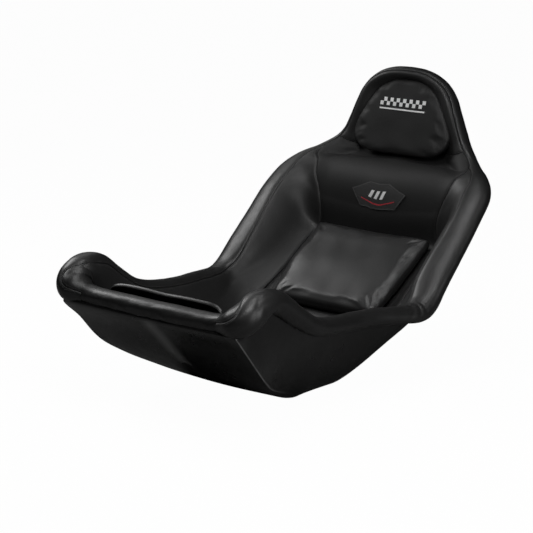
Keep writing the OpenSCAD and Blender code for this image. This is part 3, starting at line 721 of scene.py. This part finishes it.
# rings round the rim: sunk along the seam, smaller where the lining covers them, softly uneven, and creased
# where a crease is named by its place, angle, depth, width, lean and reach round the roll
def rollRings(u, seed, creases=(), plump=0.0):
    seam = along(rollSeam, u)[:, None]
    turn = np.linspace(0, 360, roll["columns"], endpoint=False)[None, :] + seam  # the first point lies on the seam
    past = turn - seam
    flat = rollPoint(u[:, None], turn)
    far = lengths(np.concatenate([flat, flat[:, :1]], 1), 1)
    across = np.minimum(far[:, :-1], far[:, -1:] - far[:, :-1])
    way = np.concatenate([[0], np.cumsum(np.linalg.norm(np.diff(rimAt(u), axis=0), axis=1))])[:, None] + 0 * turn
    grow = roll["ripple"] * softNoise(flat, 100, seed) + 0.15 * softNoise(flat, 30, seed + 1)
    grow = grow - roll["seamDrop"] * np.exp(-(across / roll["seamWidth"]) ** 1.5)
    covered = smooth(past / 14) * smooth((205 - past) / 50) * along(tucked, u)[:, None]
    grow = grow + plump
    for place, angle, depth, width, lean, reach in creases:
        off = (u[:, None] - place) - lean * ((turn - angle + 180) % 360 - 180) / 60
        round_ = hill((turn - angle + 180) % 360 - 180, reach)
        grow = grow - depth * hill(off, width) * round_ + 0.35 * depth * hill(off - 2.2 * width, width * 1.3) * round_
    centre = rollPoint(u[:, None], 0 * turn, -paddingAt(u)[:, 1:2] + 0 * turn)
    p = rollPoint(u[:, None], turn, grow)
    return centre + (p - centre) * (1 - covered)[..., None], {"sewAcross": across, "sewAlong": way}


rimCreases = ((10.75, 60, 0.8, 0.10, 0.25, 45), (11.15, 50, 0.9, 0.09, 0.3, 40), (11.5, 40, 0.5, 0.10, 0.2, 35))
earCreases = ((0.35, 160, 1.0, 0.08, 0.2, 50), (1.7, 20, 0.8, 0.10, 0.5, 40))


def makeRolls():  # rim rolls, ears and head rim: rings of rollRings along u
    u = np.linspace(2.45, 17.55, 330)
    rings, sewn = rollRings(u, 21, rimCreases)
    ear = 2.5 * np.linspace(0, 1, 100)
    plump = roll["ear"] * hill(ear[:, None] - 1.1, 0.85) * smooth(ear[:, None] / 0.7)
    plump = plump + 2.5 * hill(ear[:, None] - 0.75, 0.3)
    earRings, earSewn = rollRings(ear, 23, earCreases, plump)
    for side, word in ((1, "left"), (-1, "right")):
        flip = (lambda p: p) if side > 0 else mirrorX
        for name, made, marks, old in (("rimRoll", rings, sewn, "rim"), ("cornerPad", earRings, earSewn, "corner")):
            piece = tube(name + word.capitalize(), flip(made), rollLeather, "bucket", marks)
            facesOut(piece)
            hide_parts(old + "_foam_" + word, old + "_cover_" + word)
    u = np.linspace(17.45, 2 * headTop - 17.45, 420)
    rings, sewn = rollRings(u, 25)
    piece = tube("headRim", rings, rollLeather, "bucket", sewn)
    facesOut(piece)
    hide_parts("head_rim_foam", "head_rim_cover")


makeRolls()
print("rim made")

# front roll: a straight padded roll over the lip, crumpled across, between the corner pads

frontRoll = {"y": -320.0, "z": 216.0, "width": 22.0, "thickness": 19.0, "half": 170.0, "crumple": 0.8}


# rings across the seat; the ends turn up a little into the corner pads
def makeFrontRoll():
    x = np.linspace(-frontRoll["half"], frontRoll["half"], 300)[:, None]
    degrees = np.linspace(0, 360, 90, endpoint=False)[None, :]
    c, s = (np.sign(v) * np.abs(v) ** 0.9 for v in (np.cos(np.radians(degrees)), np.sin(np.radians(degrees))))
    lift = 0.003 * np.maximum(np.abs(x) - 135, 0) ** 2
    flat = np.stack(np.broadcast_arrays(x, frontRoll["y"] + frontRoll["width"] * c,
                                        frontRoll["z"] + lift + frontRoll["thickness"] * s), -1)
    face = hill((degrees - 205 + 180) % 360 - 180, 62)
    long = flat * np.array([0.5, 1.0, 1.0])
    grow = (0.35 * softNoise(flat, 75, 31) + frontRoll["crumple"] * softNoise(long, 17, 32) * face
            + 0.22 * softNoise(flat, 8, 33) * face + 0.5 * softNoise(flat, 30, 34) * hill(degrees - 243, 18))
    a, b = frontRoll["width"] + grow, frontRoll["thickness"] + grow
    rings = np.stack(np.broadcast_arrays(x, frontRoll["y"] + a * c, frontRoll["z"] + lift + b * s), -1)
    low = lengths(flat, 1)
    sewn = {"sewAcross": np.abs(low - low[:, 60:61]), "sewAlong": x + 0 * degrees + 300}
    piece = tube("frontRoll", rings, rollLeather, "bucket", sewn)
    facesOut(piece)
    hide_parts("front_roll_foam", "front_roll_cover")


makeFrontRoll()
print("front roll made")

# loose cushions: each a crowned pad; the back cushion is then blown up as cloth inside its cover

pads = {"gap": 6.4, "seatHeight": 26.0, "backHeight": 27.0, "backHalf": 147.0, "thigh": 43.0}


# upper and lower faces of a pad on the lining: height over the lining in a fixed direction, falling off at the edges
def padGrids(start, end, share, way, height, rows, columns):
    u = np.linspace(start, end, rows)[:, None]
    f = np.linspace(-1, 1, columns)[None, :]
    f = np.sign(f) * (1 - (1 - np.abs(f)) ** 1.6)
    b = 2 * (u - start) / (end - start) - 1
    b = np.sign(b) * (1 - (1 - np.abs(b)) ** 1.6)
    u = start + (b + 1) / 2 * (end - start)
    s = f * share(u)
    base = liningPoint(u, s, lining["height"])
    foot = pads["gap"] - lining["height"] + 3.0 * f ** 6
    way = np.array(way)
    lower = base + (way * foot[..., None])
    upper = base + way * (pads["gap"] - lining["height"] + height(f, b))[..., None]
    return lower, upper, f, b


# voxel remesh, then a short run of pressure cloth with the underside held, which is the side that faces against
# the given direction, and a cap on how far any point may have moved
def inflate(piece, voxel, pressure, cap, way):
    remesh = piece.modifiers.new("remesh", "REMESH")
    remesh.mode, remesh.voxel_size, remesh.adaptivity = "VOXEL", voxel * mm, 0
    settle(piece)
    count = len(piece.data.vertices)
    before, normals, after = np.empty(count * 3), np.empty(count * 3, np.float32), np.empty(count * 3)
    piece.data.vertices.foreach_get("co", before)
    piece.data.vertex_normals.foreach_get("vector", normals)
    group = piece.vertex_groups.new(name="held")
    group.add(np.flatnonzero(normals.reshape(-1, 3) @ np.array(way) < -0.35).tolist(), 1.0, "REPLACE")
    cloth = piece.modifiers.new("cloth", "CLOTH")
    cloth.settings.use_pressure = True
    cloth.settings.uniform_pressure_force = pressure
    cloth.settings.effector_weights.gravity = 0
    cloth.settings.vertex_group_mass = "held"
    cloth.settings.quality = 5
    cloth.point_cache.frame_start, cloth.point_cache.frame_end = 1, 20
    for step in range(1, 21):
        bpy.context.scene.frame_set(step)
    settle(piece)
    piece.data.vertices.foreach_get("co", after)
    move = (after - before).reshape(-1, 3)
    size = np.linalg.norm(move, axis=1, keepdims=True)
    print(piece.name, "blown up by at most", round(float(size.max() / mm), 1), "mm, kept to", cap)
    move *= np.minimum(1, cap * mm / np.maximum(size, 1e-9))
    piece.data.vertices.foreach_set("co", (before.reshape(-1, 3) + move).ravel())
    piece.vertex_groups.clear()
    bpy.context.scene.frame_set(1)
    soften = piece.modifiers.new("soften", "SMOOTH")
    soften.factor, soften.iterations = 0.5, 3
    finer = piece.modifiers.new("finer", "SUBSURF")
    finer.levels = finer.render_levels = 1
    settle(piece)
    piece.data.shade_smooth()


def seatShare(u):  # s of the seat cushion's edge, widening in a straight line over five sections
    return 0.29 + 0.2 * np.clip((u - 1.75) / 5, 0, 1)


def backShare(u):  # s of the back cushion's edge, a fixed half width over the half width of the floor
    half = sectionAt(u, paddingAt(u)[..., 4] + lining["height"])[1][..., 0]
    return np.minimum(0.41, 0.4 * pads["backHalf"] / half)


# low + (1 - low) * sqrt(1 - |f|^power) * sqrt(1 - |b|^power): full in the middle, low at the edges
def crown(f, b, low, power):
    across, down = (np.sqrt(np.clip(1 - np.abs(v) ** power, 0, 1)) for v in (f, b))
    return low + (1 - low) * across * down


# the front edge ends in a lip that stands out over a hollow
def makeSeatCushion():
    def height(f, b):
        return (pads["seatHeight"] + pads["thigh"] * np.maximum(0, -b) ** 3) * crown(f, np.maximum(b, -0.9), 0.6, 8)
    lower, upper, f, b = padGrids(2.03, 9.95, seatShare, (0, 0, 1), height, 120, 70)
    upper[..., 2] += 0.35 * softNoise(upper, 60, 41)
    lip = np.array([[0, 16, -32], [0, 16, -22], [0, 13, -12], [0, 2, -9], [0, -4, -7.6], [0, -6, -4.4],
                    [0, -4.4, -1.4]])
    upper = np.concatenate([upper[:1] + lip[:, None, :], upper], 0)
    lower = np.concatenate([np.repeat(lower[:1] + np.array([0, 13, -9]), len(lip), 0)
                            + np.linspace(0, 1, len(lip))[:, None, None] * np.array([0, 0, 0.5]), lower], 0)
    piece = facesOut(slab("seatCushion", lower, upper, padLeather, "seat_pad"))
    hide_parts("seat_cushion")


# an even crown over the floor of the back, in one direction
def makeBackCushion():
    lower, upper, f, b = padGrids(11.58, 14.86, backShare, (0, -0.54, 0.84),
                                  lambda f, b: pads["backHeight"] * crown(f, b, 0.62, 10), 100, 84)
    upper += np.array([0, -0.54, 0.84]) * (0.5 * softNoise(upper, 70, 43))[..., None]
    piece = facesOut(slab("backCushion", lower, upper, padLeather, "back_pad"))
    inflate(piece, 4.0, 3.0, 2.4, (0, -0.54, 0.84))
    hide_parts("back_cushion")


makeSeatCushion()
makeBackCushion()
print("cushions made")

# head pad: half width by height, a flat back that leans in at its foot, a front that leans back towards the top

headPad = {"outline": ((400, 73), (404, 92), (414, 111), (430, 123), (446, 126), (470, 119), (496, 106), (520, 90),
                       (540, 74), (552, 59), (559, 41), (562, 25)), "back": 508.0, "low": 456.0, "high": 499.0}


# half width by height from the outline; the face leans back with height and is crowned towards its edges
def makeHeadPad():
    outline = np.array(headPad["outline"], float)
    t = np.linspace(0, 1, 70)
    z = 400 + 162 * (1 - np.cos(np.pi * t)) / 2
    half = np.interp(z, outline[:, 0], outline[:, 1])
    half = np.convolve(np.pad(half, 3, mode="edge"), np.ones(7) / 7, "valid")
    f = np.linspace(-1, 1, 70)[None, :]
    f = np.sign(f) * (1 - (1 - np.abs(f)) ** 1.6)
    z, half = z[:, None], half[:, None]
    back = np.minimum(headPad["back"], 478 + (z - 400) * 0.72)
    front = headPad["low"] + (headPad["high"] - headPad["low"]) * (z - 400) / 162
    share = np.sqrt(np.clip(1 - np.abs(f) ** 6, 0, 1))
    share = share * np.sqrt(np.clip(1 - np.abs(2 * (z - 400) / 162 - 1) ** 10, 0, 1))
    y = back - 5 - (back - 5 - front) * (0.72 + 0.28 * share)
    back = back - 7.5 * np.minimum(1, (562 - z) / 50) * f ** 4
    upper = np.stack(np.broadcast_arrays(f * half, y, z), -1)
    lower = np.stack(np.broadcast_arrays(f * half, back, z), -1)
    upper[..., 1] += 0.5 * softNoise(upper, 50, 45)
    piece = facesOut(slab("headPad", lower, upper, headLeather, "head_rest_pad"))
    inflate(piece, 4.0, 3.0, 1.6, (0, -1, 0))
    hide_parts("head_pad")


makeHeadPad()
print("head pad made")

# six-sided patch sewn on the upper back panel, drawn on its own millimetres

patch = {"low": 16.05, "high": 16.85, "widths": ((16.05, 46), (16.3, 58), (16.55, 71), (16.85, 26)),
         "lift": 0.5, "thick": 1.2}


# a strip of the lining whose half width follows the patch's outline, lifted and given a thickness
def makePatch():
    u = np.linspace(patch["low"], patch["high"], 41)[:, None]
    half = np.interp(u, *np.array(patch["widths"]).T)
    f = np.linspace(-1, 1, 121)[None, :]
    reach = sectionAt(u, liningDepth(u, 0 * u) + lining["height"])[1][..., 0]
    s = f * 0.4 * half / reach
    bottom = liningPoint(u, s, lining["height"] + patch["lift"])
    top = liningPoint(u, s, lining["height"] + patch["lift"] + patch["thick"])
    x = f * half
    rows = lengths(bottom, 0)
    y = rows - rows[-1:] * 0.5
    slope = np.hypot(1, np.gradient(half[:, 0]) / np.gradient(rows[:, 60]))[:, None]
    edge = np.minimum(np.minimum(rows, rows[-1:] - rows), (half - np.abs(x)) / slope)
    marks = {"patchX": x + 0 * rows, "patchY": y, "patchEdge": edge}
    piece = facesOut(slab("backPatch", bottom, top, patchTwill, "bucket", marks))
    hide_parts("back_patch")


makePatch()

# metal parts and tapes keep their own shapes

for node, material in (("mounting_plate", plateMetal), ("threaded_inserts", insertMetal), ("seat_loop_tapes", loopTape),
                       ("back_loop_tapes", loopTape), ("head_loop_tapes", loopTape), ("seat_hook_tapes", hookTape),
                       ("back_hook_tapes", hookTape), ("head_hook_tapes", hookTape)):
    kept = nodes[node]
    kept = kept if isinstance(kept, bpy.types.Object) else bpy.data.objects[node]
    for place in kept.material_slots:
        place.material = material
    if not kept.material_slots:
        kept.data.materials.append(material)
print("patch and tapes made")

# studio

# lights: place, width and height in metres, power in watts; all of them face the middle of the seat
studio = {"floorDrop": 0.001, "floorTone": 0.22, "fill": 0.0, "target": (0, 0.1, 0.2), "lights": {
    "softbox": ((-1.5, 0.0, 1.45), (0.8, 0.6), 12.0), "sideCard": ((2.2, -0.2, 0.8), (0.8, 0.8), 12.0),
    "overhead": ((0, 0, 2.4), (0.8, 0.8), 11.0), "rear": ((-1.6, 1.2, 1.6), (0.9, 0.9), 2.0),
    "kicker": ((0.6, -0.6, 1.3), (0.5, 0.5), 8.0), "highRight": ((1.2, 0.6, 2.2), (0.7, 0.7), 2.0)}}


def areaLight(name, place, target, size, watts):
    lamp = bpy.data.lights.new(name, "AREA")
    lamp.shape, lamp.size, lamp.size_y, lamp.energy = "RECTANGLE", size[0], size[1], watts
    made = bpy.data.objects.new(name, lamp)
    made.location = place
    made.rotation_euler = (Vector(target) - Vector(place)).to_track_quat("-Z", "Y").to_euler()
    bpy.context.scene.collection.objects.link(made)


# a floor that glows white for the camera and is matt for everything else, a white world and the lights
def makeStudio():
    floor = bpy.data.meshes.new("floor")
    corners = [(x, y, -studio["floorDrop"]) for x, y in ((-25, -25), (25, -25), (25, 25), (-25, 25))]
    floor.from_pydata(corners, [], [(0, 1, 2, 3)])
    made = bpy.data.objects.new("floor", floor)
    bpy.context.scene.collection.objects.link(made)
    b = Board("floorWhite")
    path = b.add("ShaderNodeLightPath")
    seen = path.out("Is Camera Ray")
    lit = b.add("ShaderNodeBsdfDiffuse", None, Color=grey(studio["floorTone"])).out(0)
    glow = b.add("ShaderNodeEmission", None, Color=grey(1.0), Strength=1.065).out(0)
    mixed = b.add("ShaderNodeMixShader", None, seen * 0.92, lit, glow).out(0)
    b.add("ShaderNodeOutputMaterial", None, mixed)
    floor.materials.append(b.material)
    world = bpy.data.worlds.new("studio")
    bpy.context.scene.world = world
    world.use_nodes = True
    tree = world.node_tree
    tree.nodes.clear()
    w = Board.__new__(Board)
    w.tree = tree
    path = w.add("ShaderNodeLightPath")
    strength = path.out("Is Camera Ray") * (1 - studio["fill"]) + studio["fill"]
    sky = w.add("ShaderNodeBackground", None, Color=grey(1.0), Strength=strength).out(0)
    w.add("ShaderNodeOutputWorld", None, sky)
    for name, (place, size, watts) in studio["lights"].items():
        areaLight(name, place, studio["target"], size, watts)
    bpy.context.scene.view_settings.view_transform = "Standard"


makeStudio()

print("studio made")
